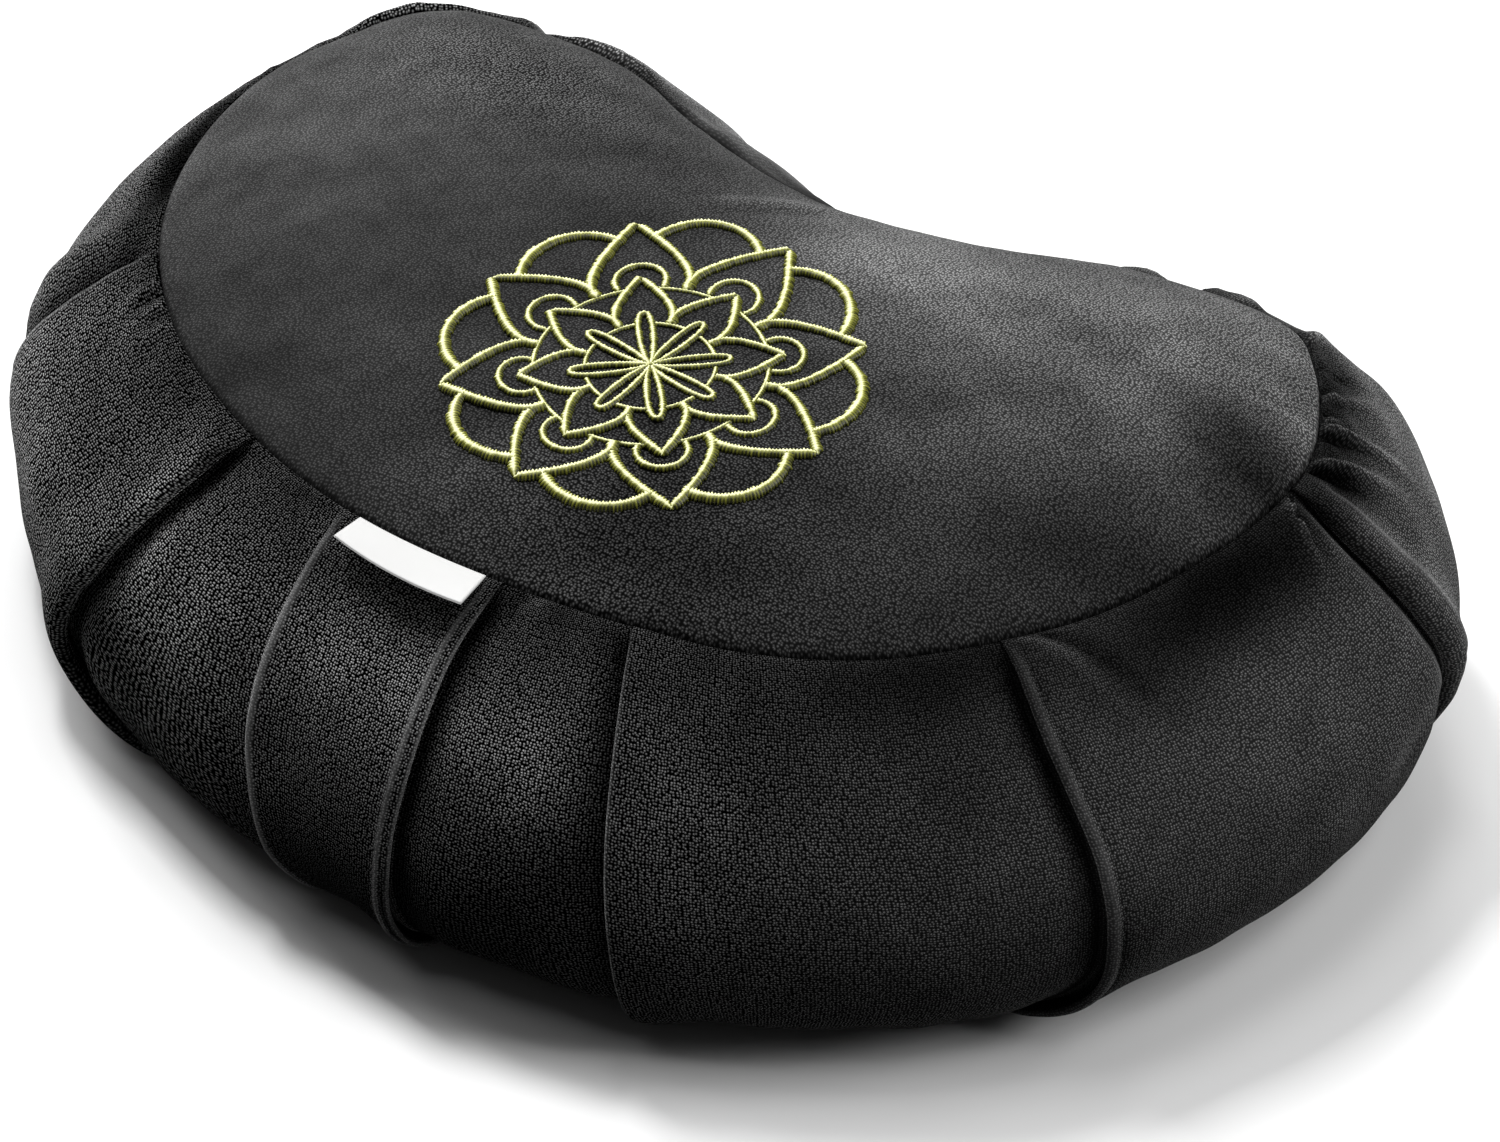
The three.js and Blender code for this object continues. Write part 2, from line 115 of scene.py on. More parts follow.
# Height of the folded cloth where the seams pinch it, radius of the lip there, and how far the
# cloth runs back under a fold
PINCH = 1.2
LIP_IN_SEAM = 0.35
UNDERLAP = 7.0

# Rolled ridges along a pleat: which pleat, how far behind its fold (below nothing for the layer
# under it), height, half width, and the painted highlight on them (below nothing for painted shade)
RIDGES = (
    (1, 0.9, 0.3, 0.8, 1.3),
    (1, -19.0, 2.4, 7.0, 0.2),
    (3, 1.6, 0.9, 0.8, 2.6),
    (4, 3.2, 0.7, 0.7, 1.9),
    (6, 1.8, 0.6, 1.2, 0.6),
    (6, 4.0, -0.4, 1.0, -0.3),
    (7, 7.5, 0.8, 1.3, 0.9),
    (7, -2.6, 0.8, 0.9, 0.9),
)

# Gathers at the lobes and small puckers by the pleats: place at the seam, place where they end,
# share where they end, height (below nothing for a hollow), width
GATHERS = (
    (261.5, 252, 0.22, 3.4, 1.5),
    (263, 257, 0.18, -4.5, 1.8),
    (274.5, 289, 0.22, -5.0, 3.2),
    (275, 302, 0.30, 3.8, 2.2),
    (290.5, 305, 0.21, -4.0, 2.6),
    (294, 311, 0.34, 3.4, 2.0),
    (297, 310, 0.12, 2.2, 1.6),
    (304, 307, 0.10, -2.6, 1.8),
    (308.5, 326, 0.24, 3.2, 2.2),
    (315, 320, 0.19, -3.2, 3.2),
    (322, 331, 0.15, 2.6, 1.6),
    (324.5, 330, 0.23, -3.6, 2.8),
    (334, 351, 0.26, 3.0, 2.6),
    (346, 356, 0.22, -2.4, 3.6),
    (358, 366, 0.25, 1.4, 5.0),
    (388, 392, 0.30, 1.4, 8.0),
    (402, 404, 0.26, -1.6, 4.0),
    (412, 414, 0.30, 1.0, 7.0),
    (-212, -208, 0.16, -4.5, 18.0),
    (-322, -325, 0.34, 4.0, 22.0),
    (-384, -384, 0.34, 4.6, 19.0),
    (-436, -436, 0.50, 2.4, 24.0),
    (-150.5, -153, 0.20, 1.3, 1.9),
    (-146, -149, 0.15, -1.3, 2.4),
    (-141.5, -144, 0.15, 1.2, 1.9),
    (-136.5, -139, 0.13, -1.1, 2.4),
    (-131.5, -134.5, 0.15, 1.1, 1.9),
    (24, 20, 0.13, -1.6, 2.6),
    (29, 25, 0.15, 0.9, 3.0),
    (35, 32, 0.12, -0.9, 3.0),
    (145, 148, 0.10, -1.4, 4.0),
    (153, 188, 0.34, 1.2, 3.5),
    (157, 198, 0.34, -1.8, 4.0),
)

# Painted light and shade down every part of the band, lighter in its upper middle and darker towards its
# foot: share, tone
BAND_PAINTED_LIGHT = np.array([
    (0, 0.8), (0.08, 1.05), (0.22, 1.6), (0.38, 1.75), (0.5, 1.15), (0.62, 0.6), (0.75, 0.4), (1, 0.35),
])

# Painted light and shade in spots on the band: place along, share, reach along, reach down, lighter or
# darker
BAND_PAINTED_SPOTS = (
    (-225, 0.05, 34, 0.07, -2.0),
    (-322, 0.04, 24, 0.06, -0.8),
    (-400, 0.05, 34, 0.12, -0.6),
    (-468, 0.08, 42, 0.14, -1.0),
    (-280, 0.30, 40, 0.25, 0.25),
    (248, 0.12, 14, 0.09, -0.8),
    (-112, 0.25, 30, 0.14, -0.2),
    (-86, 0.26, 7, 0.14, 0.9),
    (-95, 0.55, 18, 0.08, -1.0),
    (-75, 0.80, 30, 0.12, -0.8),
    (-62, 0.35, 16, 0.15, 0.4),
    (-34, 0.08, 12, 0.06, 0.5),
    (-8, 0.27, 34, 0.10, 0.9),
    (38, 0.32, 14, 0.12, 0.75),
    (5, 0.74, 45, 0.14, -1.6),
    (40, 0.58, 22, 0.10, -0.6),
    (49, 0.45, 9, 0.12, -0.6),
    (92, 0.22, 16, 0.10, -0.35),
    (70, 0.45, 14, 0.15, 0.3),
    (130, 0.08, 26, 0.10, -1.1),
    (172, 0.62, 10, 0.10, -0.5),
    (135, 0.27, 20, 0.10, -0.5),
    (185, 0.16, 24, 0.10, -0.6),
    (222, 0.08, 29, 0.09, -2.0),
    (302, 0.05, 42, 0.08, -1.0),
    (283, 0.10, 7, 0.06, -1.2),
    (300, 0.30, 30, 0.20, -0.4),
)

# Painted light and shade in spots on the top: x, y, reach, lighter or darker
TOP_PAINTED_SPOTS = (
    (-130, -35, 60, 0.6),
    (-105, 15, 40, 0.3),
    (130, 15, 60, 1.1),
    (45, 2, 42, 0.95),
    (26, -8, 26, 0.6),
    (70, -12, 24, 0.3),
    (126, -26, 15, 0.5),
    (95, -60, 30, 0.5),
    (160, -12, 17, -1.1),
    (146, 0, 9, -0.3),
    (124, 6, 10, 0.25),
    (162, 16, 8, 0.2),
    (150, -75, 34, -0.5),
    (50, -140, 30, -0.3),
    (-1, -142, 26, 0.4),
    (-60, -125, 30, 0.2),
)

# Creases where the top is drawn tight: x and y of both ends, height (below nothing for a hollow), width
TOP_CREASES = (
    (-18, -11, 9, 17, 0.8, 3.0),
    (-14, -15, 13, 13, -0.6, 3.0),
    (161, 23, 143, 10, -0.7, 2.6),
    (168, -12, 142, -19, -0.7, 3.0),
    (171, -17, 156, -27, 0.6, 2.6),
    (158, 4, 140, -4, 0.5, 3.0),
    (126, -98, 108, -74, -0.5, 4.0),
)

# Numbers on whole arrays


def smooth(t):
    """3t² - 2t³ of t kept between 0 and 1."""
    t = np.clip(t, 0, 1)
    return t * t * (3 - 2 * t)


def mix(a, b, t):
    """a + (b - a)·t."""
    return a + (b - a) * t


def read_curve(places, values, at):
    """Cubic through knots: chord + t(1 - t)·((m0·h - rise)(1 - t) - (m1·h - rise)·t), slopes m from
    the knots on either side."""
    index = np.clip(np.searchsorted(places, at, side="left") - 1, 0, len(places) - 2)
    before = np.maximum(np.arange(len(places)) - 1, 0)
    after = np.minimum(np.arange(len(places)) + 1, len(places) - 1)
    slopes = (values[after] - values[before]) / (places[after] - places[before])
    span = places[index + 1] - places[index]
    t = np.clip((at - places[index]) / span, 0, 1)
    rise = values[index + 1] - values[index]
    bend = (slopes[index] * span - rise) * (1 - t) - (slopes[index + 1] * span - rise) * t
    return values[index] + rise * t + t * (1 - t) * bend


def cloth_waves(points, size, seed, count=14):
    """Even undulation: sum of cos(2π·direction·point/size + phase) over seeded directions, about -1
    to 1."""
    chance = np.random.default_rng(seed)
    ways = chance.normal(size=(count, 3))
    ways /= np.linalg.norm(ways, axis=1, keepdims=True)
    ways *= 2 * math.pi / (size * chance.uniform(0.7, 1.4, size=(count, 1)))
    phases = chance.uniform(0, 2 * math.pi, count)
    return np.cos(points @ ways.T + phases).sum(axis=-1) / math.sqrt(2 * count)


# The cushion's smooth form


def round_the_seam(table, along):
    """A table of place and value read as a curve, repeated once on either side because the seam
    closes on itself."""
    laps = np.concatenate([table[:, 0] + lap * SEAM_LENGTH for lap in (-1, 0, 1)])
    return read_curve(laps, np.tile(table[:, 1], 3), along)


def seam(along):
    """On the arc that holds `along`: centre + radius·(cos, sin) of first angle + sweep·share; gives
    point, outward direction and spine share."""
    along = np.mod(along, SEAM_LENGTH)
    index = np.clip(np.searchsorted(ARC_STARTS, along, side="right") - 1, 0, len(ARCS) - 1)
    x, y, radius, first, sweep, out, spine_first, spine_last = np.moveaxis(ARCS[index], -1, 0)
    share = (along - ARC_STARTS[index]) / ARC_LENGTHS[index]
    angle = first + sweep * share
    facing = np.stack([np.cos(angle), np.sin(angle)], axis=-1)
    outward = out[..., None] * facing
    eased = round_the_seam(SEAM_EASE, along)[..., None] * outward
    point = np.stack([x, y], axis=-1) + radius[..., None] * facing + eased
    return point, outward, mix(spine_first, spine_last, share)


def spine(share):
    """Arc between the lobe centres that sags SPINE_SAG to the front, at angle (2·share - 1)·half
    angle."""
    angle = (2 * share - 1) * math.asin(LOBE_X / SPINE_RADIUS)
    return np.stack([
        SPINE_RADIUS * np.sin(angle),
        SPINE_RADIUS - SPINE_SAG - SPINE_RADIUS * np.cos(angle),
    ], axis=-1)


def bulge(along):
    """How far the band stands out at its widest, at this place along the seam."""
    return round_the_seam(BULGES, along)


def bezier(points, t):
    """(1-t)³·A + 3(1-t)²t·B + 3(1-t)t²·C + t³·D."""
    a, b, c, d = (np.asarray(p, dtype=float) for p in points)
    t = t[..., None]
    return (1 - t) ** 3 * a + 3 * (1 - t) ** 2 * t * b + 3 * (1 - t) * t**2 * c + t**3 * d


def profile(share):
    """Outline down the band, out from 0 to 1 and height: one cubic from seam to widest place, one
    on to the foot."""
    rise, drop = SEAM_HEIGHT - WIDEST_HEIGHT, WIDEST_HEIGHT - FOOT_HEIGHT
    shoulder = (
        (0, SEAM_HEIGHT), (SHOULDER_OUT, WIDEST_HEIGHT + rise * SHOULDER_RISE),
        (1, WIDEST_HEIGHT + rise * WIDEST_RISE), (1, WIDEST_HEIGHT),
    )
    belly = (
        (1, WIDEST_HEIGHT), (1, WIDEST_HEIGHT - drop * WIDEST_DROP),
        (FOOT_OUT, FOOT_HEIGHT), (FOOT_SHARE, FOOT_HEIGHT),
    )
    upper = bezier(shoulder, np.clip(share / WIDEST_SHARE, 0, 1))
    lower = bezier(belly, np.clip((share - WIDEST_SHARE) / (1 - WIDEST_SHARE), 0, 1))
    return np.where((share < WIDEST_SHARE)[..., None], upper, lower)


def smooth_band(along, share):
    """Seam point + outward direction·bulge·profile out, at the profile's height."""
    point, out, _ = seam(along)
    shape = profile(share)
    reach = (bulge(along) * shape[..., 0])[..., None]
    return np.concatenate([point + out * reach, shape[..., 1:]], axis=-1)


def band_normal(along, share):
    """Cross product of a short step down the smooth band and the direction along the seam."""
    down = smooth_band(along, np.minimum(share + 0.01, 1)) - smooth_band(along, np.maximum(share - 0.01, 0))
    _, out, _ = seam(along)
    sideways = np.stack([-out[..., 1], out[..., 0], np.zeros(out.shape[:-1])], axis=-1)
    normal = np.cross(down, sideways)
    return normal / np.linalg.norm(normal, axis=-1, keepdims=True)


# Pleats and gathers


def pleat_place(pleat, share):
    """Place along the seam of a pleat's fold line at this share down the band."""
    return read_curve(PLEAT_SHARES, np.array(pleat["places"], dtype=float), share)


def pleat_fade(share):
    """0 at the two seams, 1 between them."""
    return smooth(share / 0.13 + 0.06) * smooth((1 - share) / 0.1)


def short_way(distance):
    """Distance along the seam taken the short way round."""
    return distance - SEAM_LENGTH * np.round(distance / SEAM_LENGTH)


def over_height(pleat, back, share):
    """Height of the layer that lies over: its lift, PINCH in the seams, easing off over `roll`
    behind the fold."""
    return mix(PINCH, pleat["lift"], pleat_fade(share)) * (1 - smooth(back / pleat["roll"]))


def under_height(pleat, ahead, share):
    """Depth of the layer under the fold, easing off over `valley` ahead of it."""
    valley_share = 1 - smooth(ahead / pleat["valley"])
    return -pleat["tuck"] * pleat_fade(share) * smooth((1 - share) / 0.28) * valley_share


def fold_columns(index):
    """The cloth through one fold, from its over side to its under side: offsets from the fold line,
    shares of the lip's turn, and shares between the over and the under layer."""
    pleat = PLEATS[index]
    turn = np.linspace(0, 1, 8)
    lip = [(-1 + math.sin(math.pi * t), t, 1.0) for t in turn]
    columns = [{"shift": shift * pleat["lip"], "turn": t, "level": level} for shift, t, level in lip]
    under = pleat["lip"] + UNDERLAP
    columns += [
        {"shift": -pleat["lip"] - 2.5, "turn": 1, "level": 1.0},
        {"shift": -under + 0.5, "turn": 1, "level": 0.92},
        {"shift": -under, "turn": 1, "level": 0.5},
        {"shift": -under + 0.5, "turn": 1, "level": 0.08},
        {"shift": -pleat["lip"] - 2.5, "turn": 1, "level": 0.0},
        {"shift": -pleat["lip"], "turn": 1, "level": 0.0},
        {"shift": -0.5 * pleat["lip"], "turn": 1, "level": 0.0},
        {"shift": 0.0, "turn": 1, "level": 0.0},
    ]
    for column in columns:
        column.update({"first": index, "second": index, "blend": 0.0, "fold": index})
        column["offset"] = -pleat["over"] * column["shift"]
    return columns if pleat["over"] < 0 else columns[::-1]


# Distances of the close columns beside a fold
EASE = (0.6, 1.2, 1.8, 2.4, 3.2, 4.4, 6.4, 9.4)

# Distances of the close rows beside a seam
NEAR_SEAM = np.array([0, 0.35, 0.7, 1.1, 1.6, 2.2, 3.0, 4.0])

# Pitch of the columns between one pleat and the next, close where the cloth is gathered
COLUMN_PITCHES = (3.0, 1.6, 2.4, 2.4, 2.4, 2.4, 1.3, 0.9, 3.0)


def section_columns(index):
    """Columns from one pleat to the next: close ones beside each fold, then even ones between."""
    after = (index + 1) % len(PLEATS)
    lip_first = PLEATS[index]["lip"] if PLEATS[index]["over"] > 0 else 0
    lip_last = PLEATS[after]["lip"] if PLEATS[after]["over"] < 0 else 0
    width = short_way(PLEATS[after]["places"][0] - PLEATS[index]["places"][0])
    count = max(2, round(float(width - 2 * EASE[-1]) / COLUMN_PITCHES[index]))
    first, last = lip_first + EASE[-1], lip_last + EASE[-1]
    columns = [{"blend": 0.0, "offset": lip_first + step} for step in EASE]
    for k in range(1, count):
        columns.append({"blend": k / count, "offset": mix(first, -last, k / count)})
    columns += [{"blend": 1.0, "offset": -lip_last - step} for step in EASE[::-1]]
    for column in columns:
        column.update({"first": index, "second": after, "fold": -1, "turn": 0.0, "level": 1.0})
    return columns


def band_rows():
    """Shares of the rows: close together by both seams, about 1.1 mm apart between."""
    close = NEAR_SEAM / BAND_LENGTH
    between = np.linspace(5 / BAND_LENGTH, 1 - 5 / BAND_LENGTH, 116)
    return np.concatenate([close, between, 1 - close[::-1]])


def gather_height(along, share):
    """Each gather fades and widens down the band: plump ridges of height·exp(-(distance/width)²),
    creases between them of height·exp(-|distance/width|)."""
    height = np.zeros(along.shape)
    for start, end, reach, rise, width in GATHERS:
        down = share / reach
        distance = short_way(along - mix(start, end, np.minimum(down, 1) ** 0.6))
        fade = smooth(share / 0.025) * (1 - smooth(down))
        away = np.abs(distance) / (0.85 * width * (1 + 0.6 * down))
        height += rise * fade * np.exp(-(away**2 if rise > 0 else 1.3 * away))
    return height


def ridge_marks(back, share, index, part):
    """Ridges along one fold: their height or their painted highlight (shade where below nothing) times
    exp(-((back - distance)/width)²).
    """
    marks = np.zeros(back.shape)
    for pleat, distance, height, width, shine in RIDGES:
        if pleat == index:
            marks += (height, shine)[part] * np.exp(-(((back - distance) / width) ** 2)) * pleat_fade(share)
    return marks


def painted_spots(places, spots):
    """Painted light and shade: exp of the sum over spots of strength·exp(-((place - middle)/reach)²)."""
    half = len(spots[0]) // 2
    total = np.zeros(places[0].shape)
    for spot in spots:
        reaches = spot[2:-1] if len(spot) > 4 else (spot[2], spot[2])
        total += spot[-1] * np.exp(-sum(((p - m) / r) ** 2 for p, m, r in zip(places, spot[:half], reaches)))
    return np.exp(total)


def seam_shade_line(distance):
    """Painted shade in the seam where the pile is caught, dark in a thin line: 1 -
    0.95·exp(-(distance/mm)²).
    """
    return 1 - 0.95 * np.exp(-(distance**2))


def seam_dip(distance):
    """Cloth drawn down into a seam: -1.8·exp(-(distance/0.8 mm)²) - 0.6·exp(-(distance/3 mm)²)."""
    return -1.8 * np.exp(-((distance / 0.8) ** 2)) - 0.6 * np.exp(-((distance / 3.0) ** 2))


def band_columns():
    """All the columns round the band, pleat by pleat, as one array for each of their values."""
    columns = []
    for index in range(len(PLEATS)):
        columns += fold_columns(index)
        columns += section_columns(index)
    names = ("first", "second", "blend", "offset", "fold", "turn", "level")
    return {name: np.array([column[name] for column in columns]) for name in names}


def fold_marks(columns, along, places, share):
    """For every pleat its layers, lip and ridges: their height, their painted highlight, and the
    painted shade in the recess under the fold."""
    fold, level, turn = columns["fold"], columns["level"], columns["turn"]
    height, painted_light, shade = np.zeros(along.shape), np.zeros(along.shape), np.ones(along.shape)
    for index, pleat in enumerate(PLEATS):
        ahead = -pleat["over"] * short_way(along - places[:, index][:, None])
        over = over_height(pleat, np.maximum(-ahead, 0), share)
        under = under_height(pleat, np.maximum(ahead, 0), share)
        lip = mix(LIP_IN_SEAM, pleat["lip"], pleat_fade(share)) * (1 - np.cos(math.pi * turn))
        folded = mix(under, over - lip, level)
        height += np.where(fold == index, folded, np.where(ahead > 0, under, over))
        on_top = (fold != index) | (level == 0) | (turn < 0.5)
        height += on_top * ridge_marks(-ahead, share, index, 0)
        # Painted highlight round the turn of the lip
        turned = (fold == index) * pleat["shine"] * np.sin(math.pi * turn) ** 2 * pleat_fade(share)
        painted_light += turned + on_top * ridge_marks(-ahead, share, index, 1)
        # Painted shade in the recess under the fold
        recess = 0.9 * np.exp(-((ahead / pleat["recess"]) ** 2)) * pleat_fade(share)
        below = np.where(fold == index, level == 0, ahead > 0)
        shade = shade * (1 - below * recess)
    return height, painted_light, shade


def cloth_places(points, along):
    """The band's cloth laid flat: length along a row a third of the way down, and length down the
    band. At the lobes, seen edge on, the tufts are drawn wider so that they still show."""
    third = len(points) // 3
    steps = np.linalg.norm(np.roll(points[third], -1, axis=0) - points[third], axis=1)
    place = short_way(along[third])
    wider = 0.55 * smooth((-25 - place) / 50) + 0.35 * smooth((place - 170) / 80)
    across = np.concatenate([[0], np.cumsum(steps / (1 + wider))])
    down = band_rows()[:, None] * BAND_LENGTH
    return np.stack(np.broadcast_arrays(across[None, :], down), axis=-1)


def band_grain_at(along, painted_light):
    """Contrast of the tufts: strongest at the front left, faint at the back and where highlight is painted
    on the lips.
    """
    place = short_way(along)
    grain = mix(0.65, 1.35, np.exp(-(((place + 125) / 230) ** 4)))
    grain = grain * mix(0.3, 1, smooth((440 - np.abs(place)) / 60))
    return grain / (1 + 2 * np.maximum(painted_light, 0))


def band_surface():
    """Points of the side band: smooth band + normal times folds, gathers, undulation and seams."""
    columns = band_columns()
    share = band_rows()[:, None]
    places = np.stack([pleat_place(pleat, share[:, 0]) for pleat in PLEATS], axis=1)
    start = places[:, columns["first"]]
    along = start + short_way(places[:, columns["second"]] - start) * columns["blend"]
    along = along + columns["offset"]
    share = np.broadcast_to(share, along.shape)
    height, painted_light, shade = fold_marks(columns, along, places, share)
    base = smooth_band(along, share)
    gathers = gather_height(along, share)
    height += gathers
    height += pleat_fade(share) * (0.7 * cloth_waves(base, 55, 3) + 0.35 * cloth_waves(base, 24, 5))
    edge = (1 - smooth(share / 0.22)) * smooth(share / 0.02)
    height += edge * (0.45 * cloth_waves(base, 13, 8) + 0.25 * cloth_waves(base, 6, 11))
    height += seam_dip(share * BAND_LENGTH) + seam_dip((1 - share) * BAND_LENGTH)
    points = base + band_normal(along, share) * height[..., None]
    # Painted light down the band: lighter in its upper middle, darker towards its foot
    tone = read_curve(BAND_PAINTED_LIGHT[:, 0], BAND_PAINTED_LIGHT[:, 1], share)
    # Painted light and shade in spots, and the painted shade in the recesses under the folds
    painted_light_and_mottle = tone * painted_spots((short_way(along), share), BAND_PAINTED_SPOTS) * shade
    # Painted highlight on the gathers' ridges and painted shade in their hollows
    painted_light_and_mottle = painted_light_and_mottle * np.exp(0.45 * gathers) + 0.2 * np.maximum(gathers, 0)
    # Painted highlight on the lips and ridges of the pleats
    painted_light_and_mottle = np.maximum(painted_light_and_mottle * (1 + 0.3 * painted_light) + 0.7 * painted_light, 0.08)
    # Painted shade in a thin line along both seams
    painted_light_and_mottle = painted_light_and_mottle * seam_shade_line(share * BAND_LENGTH)
    painted_light_and_mottle = painted_light_and_mottle * (1 + 0.10 * cloth_waves(base, 26, 31) + 0.08 * cloth_waves(base, 12, 32))
    return points, cloth_places(points, along), painted_light_and_mottle, band_grain_at(along, painted_light)


# The two panels


def panel_places():
    """Places round the seam whose spine points meet in pairs: as many on each half of the front as
    on the hollow's half."""
    counts = (150, 110, 300, 110, 150)
    return np.concatenate([
        start + length * np.arange(count) / count
        for start, length, count in zip(ARC_STARTS, ARC_LENGTHS, counts)
    ])


def crown(along, ring):
    """At spine + (seam - spine)·ring, height swell·(1 - ring^flatness)^rim, and behind the spine
    CROWN_BACK·4·ring²(1 - ring²) more."""
    point, _, spine_share = seam(along)
    middle_share = np.sin(math.pi * spine_share)
    place = np.mod(along, SEAM_LENGTH)
    behind = (place > ARC_STARTS[2]) & (place < ARC_STARTS[3])
    full_height = mix(CROWN_LOBE, CROWN_MIDDLE, middle_share)
    height = full_height * np.maximum(1 - ring**CROWN_FLATNESS, 0) ** CROWN_RIM
    height += behind * CROWN_BACK * middle_share * 4 * ring**2 * (1 - ring**2)
    flat = mix(spine(spine_share), point, ring[..., None])
    return np.concatenate([flat, height[..., None] + SEAM_HEIGHT], axis=-1)


def top_creases(x, y):
    """Each crease: height·exp(-(distance from its line/width)²), fading at its ends as
    exp(-(2·share - 1)⁴)."""
    height = np.zeros(x.shape)
    for start_x, start_y, end_x, end_y, rise, width in TOP_CREASES:
        way_x, way_y = end_x - start_x, end_y - start_y
        length = math.hypot(way_x, way_y)
        share = ((x - start_x) * way_x + (y - start_y) * way_y) / length**2
        away = ((x - start_x) * way_y - (y - start_y) * way_x) / length
        height += rise * np.exp(-((away / width) ** 2) - (2 * share - 1) ** 4)
    return height


# Usual distance from the spine to the seam, which spaces the rows of the top
HALF_DEPTH = 68.0


def top_surface():
    """Crown + undulation, drawn down into the seam at its rim."""
    rings = 1 - np.concatenate([NEAR_SEAM, np.linspace(5.2, HALF_DEPTH, 56)]) / HALF_DEPTH
    along, ring = np.broadcast_arrays(panel_places()[None, :], rings[:, None])
    points = crown(along, ring)
    point, _, spine_share = seam(along)
    inset = np.linalg.norm(point - spine(spine_share), axis=-1) * (1 - ring)
    waves = 0.55 * cloth_waves(points, 60, 21) + 0.25 * cloth_waves(points, 27, 22)
    rim = 0.3 * cloth_waves(points, 11, 23) * np.exp(-((inset / 7) ** 2))
    x, y = points[..., 0], points[..., 1]
    creases = top_creases(x, y)
    points[..., 2] += (waves + rim + creases) * smooth(inset / 6) + seam_dip(inset)
    mottle = 0.16 * cloth_waves(points, 34, 33) + 0.12 * cloth_waves(points, 14, 34)
    mottle = 1 + mottle + 0.06 * cloth_waves(points, 7, 35)
    # Painted shade along the seam, painted highlight on raised creases and painted shade in hollow ones,
    # painted light and shade in spots, and random mottle
    painted_light_and_mottle = seam_shade_line(inset) * np.exp(0.35 * creases) * painted_spots((x, y), TOP_PAINTED_SPOTS) * mottle
    front = np.exp(-(((x - 30) / 60) ** 2) - ((y + 150) / 50) ** 2)
    back_left = np.exp(-(((x + 95) / 45) ** 2) - ((y - 20) / 30) ** 2)
    grain = 0.3 * (1.1 + smooth((x + 110) / 200) + front + 1.7 * back_left)
    return points, painted_light_and_mottle, grain


def bottom_surface():
    """Level panel whose edge turns up over BASE_EDGE mm to the bottom seam."""
    rings = 1 - np.concatenate([np.linspace(0, 0.12, 9), np.linspace(0.15, 1, 30)])
    along, ring = np.broadcast_arrays(panel_places()[::2][None, :], rings[:, None])
    point, out, spine_share = seam(along)
    edge = point + out * (bulge(along) * FOOT_SHARE)[..., None]
    flat = mix(spine(spine_share), edge, ring[..., None])
    inset = np.linalg.norm(edge - spine(spine_share), axis=-1) * (1 - ring)
    rise = BASE_THICKNESS * (1 - smooth(inset / BASE_EDGE / 1.6))
    return np.concatenate([flat, rise[..., None]], axis=-1)


# The embroidery

# An eight-fold lotus in the old way of such work, drawn by formula. Its unit reaches from the
# middle to the tips of the large petals. On the panel's plan, in mm: its middle, one unit along
# its first petal, one unit across that, and the drift in u², uv and v² as it follows the crown.
PATTERN_MIDDLE = np.array([11.0, -86.6])
PATTERN_ALONG = np.array([44.7, 38.8])
PATTERN_ACROSS = np.array([-35.2, 48.6])
PATTERN_DRIFT = np.array([(-0.9, 3.9), (-2.2, 6.2), (-2.2, 5.9)])
ARC_HALF, PETAL_HALF, SMALL_HALF, LOOP_HALF, EYE_HALF, RING_HALF = 1.75, 1.6, 1.4, 1.15, 1.05, 0.8
STITCH = 0.95
# Way in plan towards which the thread's painted highlight leans
LIGHT_SIDE = np.array([-0.95, 0.31])


def degrees_between(first, last):
    """Ninety even angles from first to last, in radians."""
    return np.radians(np.linspace(first, last, 90))


def lotus_lines():
    """Each kind of line once, in its own petal: points (out along the petal, aside), half width in
    mm, whether it stands between two petals, and the length of its pointed end."""
    t = np.linspace(0, 1, 60)
    arc, loop, eye = degrees_between(-62, 62), degrees_between(-118, 118), degrees_between(4, 356)
    outer_ring, inner_ring = degrees_between(4.5, 40.5), degrees_between(5.5, 39.5)
    petal = bezier(((0.51, 0.211), (0.61, 0.285), (0.80, 0.172), (1.0, -0.006)), t)
    small = bezier(((0.288, 0.119), (0.37, 0.172), (0.495, 0.105), (0.63, -0.008)), t)
    along = 0.19 - 0.185 * np.cos(eye)
    aside = 0.04 * np.sign(np.sin(eye)) * np.abs(np.sin(eye)) ** 0.7 * (along / 0.375) ** 0.3
    return [
        (0.55 * np.stack([np.cos(outer_ring), np.sin(outer_ring)], axis=-1), RING_HALF, False, 0),
        (0.305 * np.stack([np.cos(inner_ring), np.sin(inner_ring)], axis=-1), RING_HALF, False, 0),
        (np.stack([0.705 + 0.3 * np.cos(arc), 0.3 * np.sin(arc)], axis=-1), ARC_HALF, True, 0),
        (np.stack([0.6 + 0.112 * np.cos(loop), 0.121 * np.sin(loop)], axis=-1), LOOP_HALF, False, 0),
        (petal * (1, -1), PETAL_HALF, False, 2.6),
        (petal, PETAL_HALF, False, 1.6),
        (small * (1, -1), SMALL_HALF, False, 2.2),
        (small, SMALL_HALF, False, 1.4),
        (np.stack([along, aside], axis=-1), EYE_HALF, False, 0),
    ]


def pattern_place(lines):
    """middle + along·u + across·v + drift·(u², uv, v²)."""
    u, v = lines[..., :1], lines[..., 1:]
    drift = np.concatenate([u * u, u * v, v * v], axis=-1) @ PATTERN_DRIFT
    return PATTERN_MIDDLE + u * PATTERN_ALONG + v * PATTERN_ACROSS + drift


def polynomial_terms(flat):
    """x to the i times y to the j, for every i and j that make 7 at most."""
    powers = [(i, j) for i in range(8) for j in range(8 - i)]
    return np.stack([flat[..., 0] ** i * flat[..., 1] ** j for i, j in powers], axis=-1)


